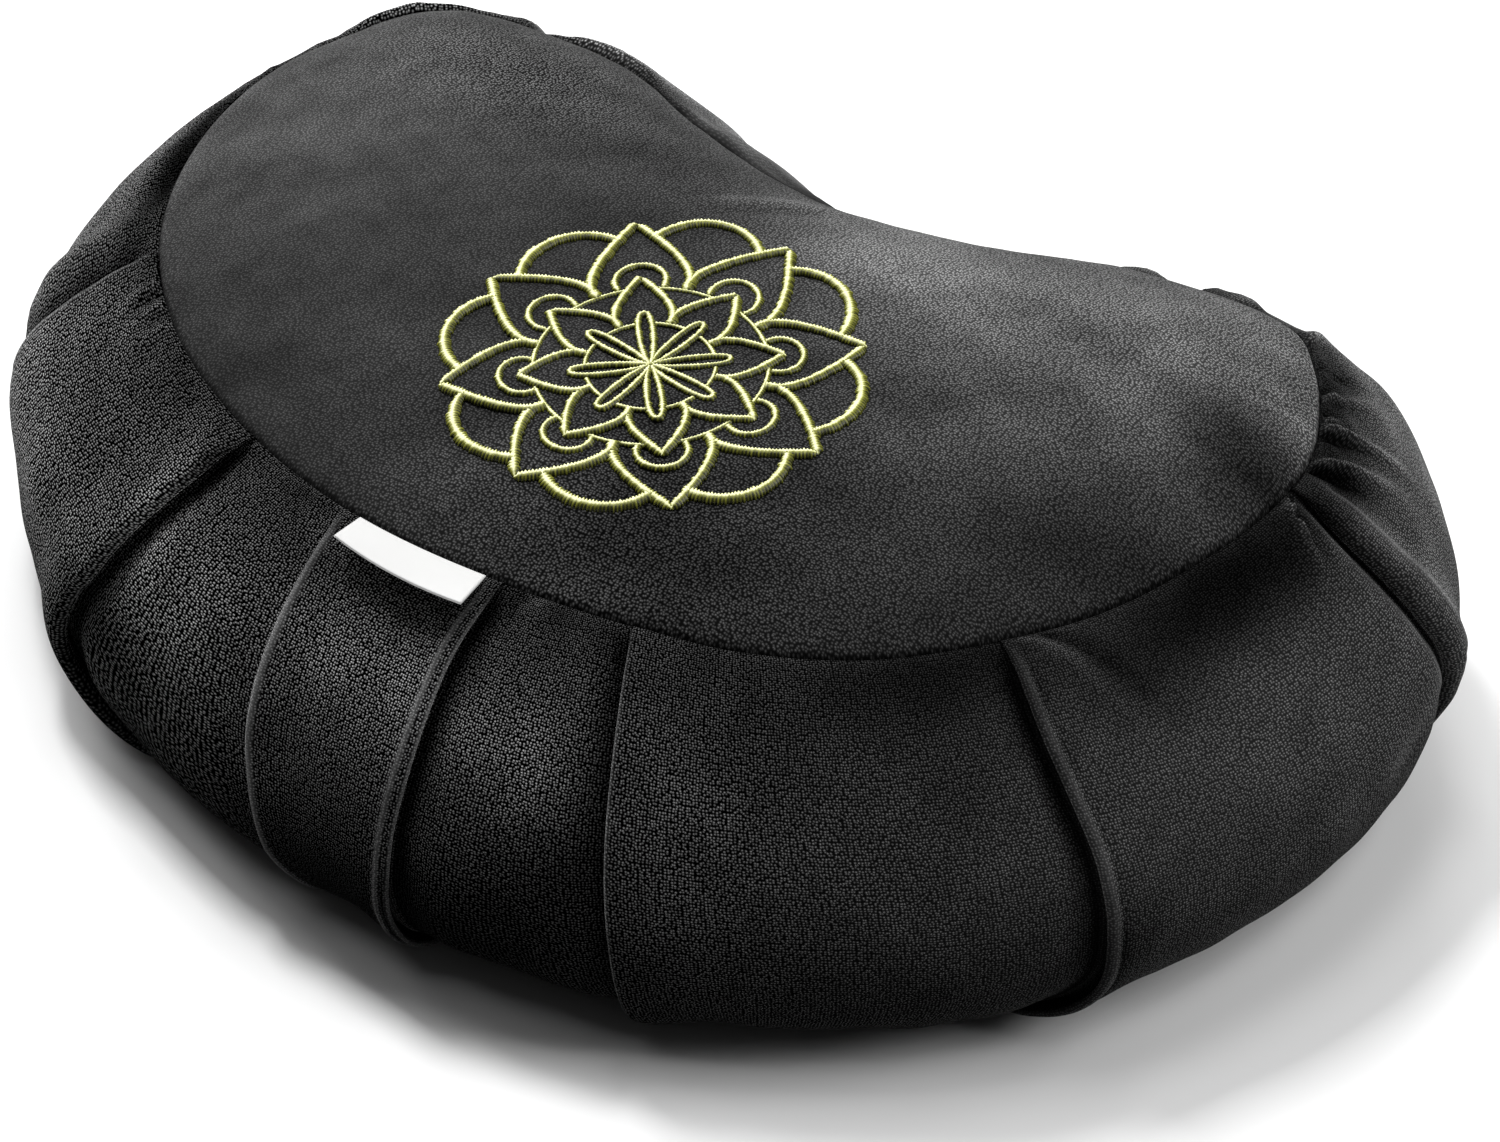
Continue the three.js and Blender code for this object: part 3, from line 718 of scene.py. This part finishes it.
def height_under(surface, places):
    """Height of the crown at plan places: a least-squares polynomial of degree 7 through the grid
    points near the pattern."""
    middle, reach = PATTERN_MIDDLE, 76.0
    near = surface.reshape(-1, 3)
    near = near[np.linalg.norm(near[:, :2] - middle, axis=1) < reach]
    known = polynomial_terms((near[:, :2] - middle) / reach)
    factors = np.linalg.lstsq(known, near[:, 2], rcond=None)[0]
    return polynomial_terms((places - middle) / reach) @ factors


def satin_line(surface, line, half_width, point, seed):
    """A closed tube of satin stitches along a line on the crown: an arched section whose width and
    height step from stitch to stitch, its last end drawn to a point."""
    steps = np.linalg.norm(np.diff(line, axis=0), axis=1)
    length = np.concatenate([[0], np.cumsum(steps)])
    count = max(6, round(length[-1] / STITCH)) * 2 + 1
    at = np.linspace(0, length[-1], count)
    flat = np.stack([np.interp(at, length, line[:, k]) for k in (0, 1)], axis=-1)
    way = np.gradient(flat, axis=0)
    way /= np.linalg.norm(way, axis=1, keepdims=True)
    aside = np.stack([-way[:, 1], way[:, 0]], axis=-1)
    crest = np.arange(count) % 2
    chance = np.random.default_rng(seed)
    uneven = chance.uniform(-1, 1, size=(count, 2))
    blunt = np.clip(np.minimum(at, length[-1] - at) / 0.5, 0, 1) ** 0.5
    taper = blunt * np.clip((length[-1] - at) / max(point, 0.1), 0, 1)
    reach = half_width * (0.8 + 0.24 * crest[:, None] * (1 + 0.9 * uneven)) * (0.06 + 0.94 * taper[:, None])
    angle = np.radians([-90, -62, -37, -12, 12, 37, 62, 90])
    section_side = np.concatenate([np.sin(angle), [0.8, -0.8]])
    section_rise = np.concatenate([np.cos(angle), [-0.35, -0.35]])
    width = np.where(section_side[None, :] < 0, reach[:, :1], reach[:, 1:])
    tall = half_width * (0.62 + 0.22 * crest) * (0.12 + 0.88 * taper)
    plan = flat[:, None, :] + aside[:, None, :] * (section_side[None, :] * width)[..., None]
    height = height_under(surface, plan) + section_rise[None, :] * tall[:, None] + 0.12
    # Painted highlight on the side of the ridge towards LIGHT_SIDE, painted shade on the far side, at the
    # edges and in the gaps between stitches; uneven adds random tone
    off_ridge = section_side[None, :] - 0.42 * (aside @ LIGHT_SIDE)[:, None]
    gaps = (1 - crest[:, None]) * np.minimum(0.1 + 0.5 * off_ridge**2, 0.4)
    shine = 0.28 + 0.8 * np.exp(-((off_ridge / 0.5) ** 2)) - gaps + 0.14 * uneven[:, :1]
    return np.concatenate([plan, height[..., None]], axis=-1), shine


def satin_lines(surface):
    """All the lines of the lotus, eight of each kind, every kind a little higher than the one
    before."""
    tubes = []
    for level, (line, half_width, between, point) in enumerate(lotus_lines()):
        for petal in range(8):
            turn = math.radians(45 * petal + 22.5 * between)
            turned = line @ np.array([[math.cos(turn), math.sin(turn)], [-math.sin(turn), math.cos(turn)]])
            tube, shine = satin_line(surface, pattern_place(turned), half_width, point, 100 * level + petal)
            tube[..., 2] += 0.04 * level
            tubes.append((tube, shine))
    return tubes


# The ribbon label

# The ribbon is 42 x 14 mm; its left end lies deeper in the seam than its right one
LABEL = {
    "from": -30.3, "to": 11.1, "left": 10.1, "right": 13.8,
    "rise_left": -0.75, "rise_right": 0.05, "sag": 1.1,
}
RIBBON_LENGTH, RIBBON_DEPTH = 42, 14


def ribbon_surface():
    """Straight out from the seam: seam point + outward·length·down, bowing down along its free edge."""
    across, down = np.meshgrid(np.linspace(0, 1, 60), np.linspace(0, 1, 24), indexing="xy")
    along = mix(LABEL["from"], LABEL["to"], across)
    point, out, _ = seam(along)
    flat = point + out * (0.4 + mix(LABEL["left"], LABEL["right"], across) * down)[..., None]
    bow = -LABEL["sag"] * 4 * across * (1 - across) * down**1.5
    rise = mix(LABEL["rise_left"], LABEL["rise_right"], across) * down
    height = SEAM_HEIGHT - 0.3 + rise + bow
    return np.concatenate([flat, height[..., None]], axis=-1)


# Meshes from grids

panel_box = 1000 * np.array(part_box("top_panel"))[:, :2]
panel_edge = seam(np.linspace(0, SEAM_LENGTH, 2000))[0]
SHIFT = np.append((panel_box.sum(axis=0) - panel_edge.min(axis=0) - panel_edge.max(axis=0)) / 2, 0)


def to_frame(points):
    """Millimetres of this script to metres of the frame."""
    return (np.asarray(points) + SHIFT) / 1000


def grid_piece(name, points, material, cloth=None, closed=True, flip=False, merge=0.0, marks=None):
    """One object from a rows x columns grid of points: a quad between each four neighbours, the
    last column joined to the first when closed."""
    rows, columns = points.shape[:2]
    turns = columns if closed else columns - 1
    row, column = np.meshgrid(np.arange(rows - 1), np.arange(turns), indexing="ij")
    beside = (column + 1) % columns
    corners = [
        row * columns + column, (row + 1) * columns + column,
        (row + 1) * columns + beside, row * columns + beside,
    ]
    faces = np.stack(corners[::-1] if flip else corners, axis=-1).reshape(-1, 4)
    mesh = bpy.data.meshes.new(name)
    mesh.from_pydata(to_frame(points).reshape(-1, 3), [], faces)
    if cloth is not None:
        ends = np.stack([column, column, column + 1, column + 1], axis=-1)
        lines = np.stack([row, row + 1, row + 1, row], axis=-1)
        if flip:
            ends, lines = ends[..., ::-1], lines[..., ::-1]
        places = cloth[lines, ends] / 1000
        layer = mesh.uv_layers.new(name="cloth")
        layer.uv.foreach_set("vector", places.reshape(-1).astype(np.float32))
    for mark, values in (marks or {}).items():
        layer = mesh.attributes.new(mark, "FLOAT", "POINT")
        layer.data.foreach_set("value", values.reshape(-1).astype(np.float32))
    mesh.shade_smooth()
    mesh.materials.append(material)
    mesh.update()
    piece = bpy.data.objects.new(name, mesh)
    bpy.context.scene.collection.objects.link(piece)
    if merge:
        weld(piece, merge)
    return piece


def weld(piece, distance):
    """Joins points that lie on each other, where a grid closes on its spine."""
    work = bmesh.new()
    work.from_mesh(piece.data)
    bmesh.ops.remove_doubles(work, verts=work.verts, dist=distance)
    work.to_mesh(piece.data)
    work.free()


def tubes_piece(name, tubes, material):
    """One object from closed tubes, each a grid of stations x section points with its ends closed."""
    points, shines, faces, start = [], [], [], 0
    for tube, shine in tubes:
        stations, around = tube.shape[:2]
        row, column = np.meshgrid(np.arange(stations - 1), np.arange(around), indexing="ij")
        beside = (column + 1) % around
        corners = [
            row * around + column, row * around + beside,
            (row + 1) * around + beside, (row + 1) * around + column,
        ]
        faces += (np.stack(corners, axis=-1).reshape(-1, 4) + start).tolist()
        faces += [list(range(start + around - 1, start - 1, -1))]
        faces += [list(range(start + (stations - 1) * around, start + stations * around))]
        points.append(tube.reshape(-1, 3))
        shines.append(shine.reshape(-1))
        start += stations * around
    mesh = bpy.data.meshes.new(name)
    mesh.from_pydata(to_frame(np.concatenate(points)), [], faces)
    layer = mesh.attributes.new("shine", "FLOAT", "POINT")
    layer.data.foreach_set("value", np.concatenate(shines).astype(np.float32))
    mesh.shade_smooth()
    mesh.materials.append(material)
    piece = bpy.data.objects.new(name, mesh)
    bpy.context.scene.collection.objects.link(piece)
    return piece


# Materials


def colour(code):
    """sRGB hex to linear RGBA."""
    parts = [int(code[k:k + 2], 16) / 255 for k in (1, 3, 5)]
    return (*[p / 12.92 if p <= 0.04045 else ((p + 0.055) / 1.055) ** 2.4 for p in parts], 1)


def socket_of(node, key):
    """An input by its name, or by its number for keys such as i0."""
    if key[0] == "i" and key[1:].isdigit():
        return node.inputs[int(key[1:])]
    return node.inputs[key.replace("_", " ")]


def add(tree, kind, settings=None, **links):
    """Adds a node, sets its properties and sockets, and links its inputs."""
    node = tree.nodes.new(kind)
    for key, value in (settings or {}).items():
        if hasattr(node, key):
            setattr(node, key, value)
        else:
            socket_of(node, key).default_value = value
    for key, source in links.items():
        tree.links.new(source, socket_of(node, key))
    return node


def new_material(name):
    """A material with an empty node tree."""
    material = bpy.data.materials.new(name)
    material.use_nodes = True
    material.node_tree.nodes.clear()
    return material, material.node_tree


def velour(name, place, tuft, order, sharpness, bright):
    """Knitted cut velour. Tone = painted light and shade with random mottle · (1 + grain·(bright·
    tuft^sharpness - 1)), each tuft 1 in its middle and 0 between tufts and up to half brighter or
    darker by chance; it scales the dyed black and the sheen that greys pile seen edge on."""
    material, tree = new_material(name)
    counted = add(tree, "ShaderNodeVectorMath", {"operation": "MULTIPLY"}, i0=place(tree))
    counted.inputs[1].default_value = (1 / tuft[0], 1 / tuft[1], 1)
    tufts = add(tree, "ShaderNodeTexVoronoi", {
        "voronoi_dimensions": "2D", "Scale": 1.0, "Randomness": order,
    }, Vector=counted.outputs["Vector"])
    near = add(tree, "ShaderNodeMapRange", {
        "From Min": 0.05, "From Max": 0.62, "To Min": 1.0, "To Max": 0.0,
    }, Value=tufts.outputs["Distance"])
    lit = add(tree, "ShaderNodeMath", {"operation": "POWER", "i1": sharpness}, i0=near.outputs["Result"])
    chance = add(tree, "ShaderNodeMapRange", {
        "To Min": 0.5 * bright, "To Max": 1.5 * bright,
    }, Value=tufts.outputs["Color"])
    spread = add(tree, "ShaderNodeMath", {
        "operation": "MULTIPLY_ADD", "i2": -1.0,
    }, i0=lit.outputs["Value"], i1=chance.outputs["Result"])
    grain = add(tree, "ShaderNodeAttribute", {"attribute_name": "grain"})
    # Painted light and shade of the pile, with its random mottle, read from the piece's points
    painted_light_and_mottle = add(tree, "ShaderNodeAttribute", {"attribute_name": "painted_light_and_mottle"})
    pile = add(tree, "ShaderNodeMath", {
        "operation": "MULTIPLY_ADD", "i2": 1.0,
    }, i0=spread.outputs["Value"], i1=grain.outputs["Fac"])
    tone = add(tree, "ShaderNodeMath", {
        "operation": "MULTIPLY",
    }, i0=pile.outputs["Value"], i1=painted_light_and_mottle.outputs["Fac"])
    dye = add(tree, "ShaderNodeVectorMath", {"operation": "SCALE"}, Scale=tone.outputs["Value"])
    dye.inputs[0].default_value = colour("#2b2b2b")[:3]
    sheen = add(tree, "ShaderNodeVectorMath", {"operation": "SCALE"}, Scale=tone.outputs["Value"])
    sheen.inputs[0].default_value = colour("#6b6b6b")[:3]
    shader = add(tree, "ShaderNodeBsdfPrincipled", {
        "Roughness": 0.9, "Sheen Weight": 1.0, "Sheen Roughness": 0.35, "Specular IOR Level": 0.0,
    }, Base_Color=dye.outputs["Vector"], Sheen_Tint=sheen.outputs["Vector"])
    bump = add(tree, "ShaderNodeBump", {"Strength": 0.5, "Distance": 0.0002}, Height=lit.outputs["Value"])
    tree.links.new(bump.outputs["Normal"], shader.inputs["Normal"])
    add(tree, "ShaderNodeOutputMaterial", None, Surface=shader.outputs["BSDF"])
    return material


def object_place(tree):
    """Place on the piece in metres."""
    return add(tree, "ShaderNodeTexCoord").outputs["Object"]


def cloth_place(tree):
    """Place on the cloth laid flat, in metres."""
    return add(tree, "ShaderNodeUVMap", {"uv_map": "cloth"}).outputs["UV"]


def satin_thread():
    """Glossy rayon thread laid side by side, coloured by its painted light: a painted highlight on the
    ridge towards the light, painted shade in olive on the other side."""
    material, tree = new_material("gold_green_rayon_satin_stitch")
    place = add(tree, "ShaderNodeTexCoord")
    fleck = add(tree, "ShaderNodeTexNoise", {"Scale": 1500.0, "Detail": 2.0}, Vector=place.outputs["Object"])
    # Painted highlight and shade of the thread
    shine = add(tree, "ShaderNodeAttribute", {"attribute_name": "shine"})
    ramp = add(tree, "ShaderNodeValToRGB", None, Fac=shine.outputs["Fac"])
    ramp.color_ramp.elements[0].position = 0.0
    ramp.color_ramp.elements[0].color = colour("#232508")
    ramp.color_ramp.elements[1].position = 1.0
    ramp.color_ramp.elements[1].color = colour("#f4f5bd")
    middle = ramp.color_ramp.elements.new(0.5)
    middle.color = colour("#84862a")
    shader = add(tree, "ShaderNodeBsdfPrincipled", {
        "Roughness": 0.42, "Specular IOR Level": 0.4,
    }, Base_Color=ramp.outputs["Color"])
    bump = add(tree, "ShaderNodeBump", {"Strength": 0.4, "Distance": 0.0002}, Height=fleck.outputs["Fac"])
    tree.links.new(bump.outputs["Normal"], shader.inputs["Normal"])
    add(tree, "ShaderNodeOutputMaterial", None, Surface=shader.outputs["BSDF"])
    return material


# Distance between the ribs of the ribbon, in metres
RIB_PITCH = 0.0004


def satin_ribbon():
    """Bare woven polyester ribbon: white, with a soft shine and a fine cross rib."""
    material, tree = new_material("white_woven_satin_ribbon")
    cloth = add(tree, "ShaderNodeUVMap", {"uv_map": "cloth"})
    rib = add(tree, "ShaderNodeTexWave", {
        "wave_type": "BANDS", "bands_direction": "Y", "Scale": 0.314 / RIB_PITCH,
    }, Vector=cloth.outputs["UV"])
    shader = add(tree, "ShaderNodeBsdfPrincipled", {
        "Base Color": colour("#c4c4c3"), "Roughness": 0.5, "Sheen Weight": 0.15, "Sheen Roughness": 0.4,
    })
    bump = add(tree, "ShaderNodeBump", {"Strength": 0.25, "Distance": 0.0001}, Height=rib.outputs["Fac"])
    tree.links.new(bump.outputs["Normal"], shader.inputs["Normal"])
    add(tree, "ShaderNodeOutputMaterial", None, Surface=shader.outputs["BSDF"])
    return material


# Tufts of the pile, in metres along and down. Real ones are finer, and these are drawn as coarse
# as they need to be to show in the render.
BAND_TUFT, TOP_TUFT = (0.0009, 0.00074), (0.0009, 0.0008)
band_velour = velour("black_knitted_velour_band", cloth_place, BAND_TUFT, 0.55, 2.7, 5.8)
top_velour = velour("black_cut_velour_top", object_place, TOP_TUFT, 0.75, 2.0, 4.5)

# The pieces

# Points nearer than this, in metres, become one where a panel closes on its spine
WELD = 2e-5

band_points, band_cloth, band_painted_light_and_mottle, band_grain = band_surface()
# Painted light and shade with random mottle, and the contrast of the grain
band_marks = {"painted_light_and_mottle": band_painted_light_and_mottle, "grain": band_grain}
band = grid_piece("pleated_band", band_points, band_velour, band_cloth, marks=band_marks)
crowned, top_painted_light_and_mottle, top_grain = top_surface()
# Painted light and shade with random mottle, and the contrast of the grain
top_marks = {"painted_light_and_mottle": top_painted_light_and_mottle, "grain": top_grain}
top = grid_piece("crowned_top", crowned, top_velour, flip=True, merge=WELD, marks=top_marks)
based = bottom_surface()
even = np.ones(based.shape[:2])
base = grid_piece("flat_base", based, top_velour, merge=WELD, marks={"painted_light_and_mottle": even, "grain": even})

for piece, node, slot in (
    (band, "side_band", "velvet_band"),
    (top, "top_panel", "velvet_top"),
    (base, "bottom_panel", "velvet_base"),
):
    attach(piece, "root")
    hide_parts(node)

lotus = tubes_piece("lotus_embroidery", satin_lines(crowned), satin_thread())
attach(lotus, "root")

ribbon_points = ribbon_surface()
ribbon_cloth = np.stack(np.meshgrid(
    np.linspace(0, RIBBON_LENGTH, 60), np.linspace(0, RIBBON_DEPTH, 24)
), axis=-1)
ribbon = grid_piece("bare_ribbon_label", ribbon_points, satin_ribbon(), ribbon_cloth, closed=False)
wall = ribbon.modifiers.new("thickness", "SOLIDIFY")
wall.thickness, wall.offset = 0.0006, 0
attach(ribbon, "root")
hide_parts("label_tag")

# Camera, floor and light

AZIMUTH, ELEVATION, ROLL = math.radians(26.659), math.radians(37.677), math.radians(5.829)
TARGET = np.array([35.448, -62.648, 59.981])
DISTANCE = 1673.74
FOCAL_PIXELS, PHOTO_WIDTH, SENSOR_WIDTH = 5970.9, 1500, 36
back = np.array([
    math.sin(AZIMUTH) * math.cos(ELEVATION),
    -math.cos(AZIMUTH) * math.cos(ELEVATION),
    math.sin(ELEVATION),
])
right = np.array([math.cos(AZIMUTH), math.sin(AZIMUTH), 0])
up = np.cross(back, right)
turned_right = right * math.cos(ROLL) + up * math.sin(ROLL)
turned_up = -right * math.sin(ROLL) + up * math.cos(ROLL)
camera_data = bpy.data.cameras.new("camera")
camera_data.sensor_fit = "HORIZONTAL"
camera_data.sensor_width = SENSOR_WIDTH
camera_data.lens = SENSOR_WIDTH * FOCAL_PIXELS / PHOTO_WIDTH
camera_data.clip_end = 20
camera = bpy.data.objects.new("camera", camera_data)
bpy.context.scene.collection.objects.link(camera)
spot = to_frame(TARGET + back * DISTANCE)
camera.matrix_world = Matrix([
    (turned_right[k], turned_up[k], back[k], spot[k]) for k in range(3)
] + [(0, 0, 0, 1)])
bpy.context.scene.camera = camera


def add_floor():
    """A level pale sheet under the cushion."""
    x, y = np.meshgrid(np.linspace(-3000, 3000, 7), np.linspace(-3000, 3000, 7), indexing="xy")
    material, tree = new_material("matt_white_paper")
    shader = add(tree, "ShaderNodeBsdfPrincipled", {
        "Base Color": colour("#f6f6f6"), "Roughness": 0.8, "Specular IOR Level": 0.2,
    })
    add(tree, "ShaderNodeOutputMaterial", None, Surface=shader.outputs["BSDF"])
    sheet = np.stack([x, y, np.full(x.shape, -0.3)], axis=-1)
    piece = grid_piece("floor", sheet, material, closed=False, flip=True)


def add_softbox(name, turn, rise, distance, size, power):
    """A square area light facing the cushion: turned by `turn` from straight behind it towards its
    right, `rise` above the floor, both in degrees; sizes in metres."""
    light = bpy.data.lights.new(name, "AREA")
    light.shape = "SQUARE"
    light.size = size
    light.energy = power
    box = bpy.data.objects.new(name, light)
    bpy.context.scene.collection.objects.link(box)
    turn, rise = math.radians(turn), math.radians(rise)
    depth = np.array([-math.sin(AZIMUTH), math.cos(AZIMUTH), 0])
    level = depth * math.cos(turn) + right * math.sin(turn)
    way = level * math.cos(rise) + np.array([0, 0, math.sin(rise)])
    spot = Vector(way * distance + np.array([0, 0, 0.06]))
    box.location = spot
    box.rotation_euler = (Vector((0, 0, 0.06)) - spot).to_track_quat("-Z", "Y").to_euler()


add_floor()
add_softbox("softbox_above", -5, 82, 1.7, 0.5, 6)
add_softbox("softbox_back_left", -45, 64, 1.8, 0.35, 21)
add_softbox("softbox_low_behind", 0, 28, 1.9, 0.8, 11)
add_softbox("softbox_low_left", -45, 28, 1.9, 0.8, 20)
add_softbox("softbox_low_right", 90, 28, 1.9, 0.8, 13.5)
add_softbox("softbox_right", 90, 58, 1.9, 0.8, 9.5)
add_softbox("softbox_left", -90, 58, 1.9, 0.8, 3.5)

world = bpy.data.worlds.new("studio")
world.use_nodes = True
world.node_tree.nodes["Background"].inputs["Color"].default_value = (1, 1, 1, 1)
world.node_tree.nodes["Background"].inputs["Strength"].default_value = 0.03
bpy.context.scene.world = world
bpy.context.scene.view_settings.view_transform = "Standard"
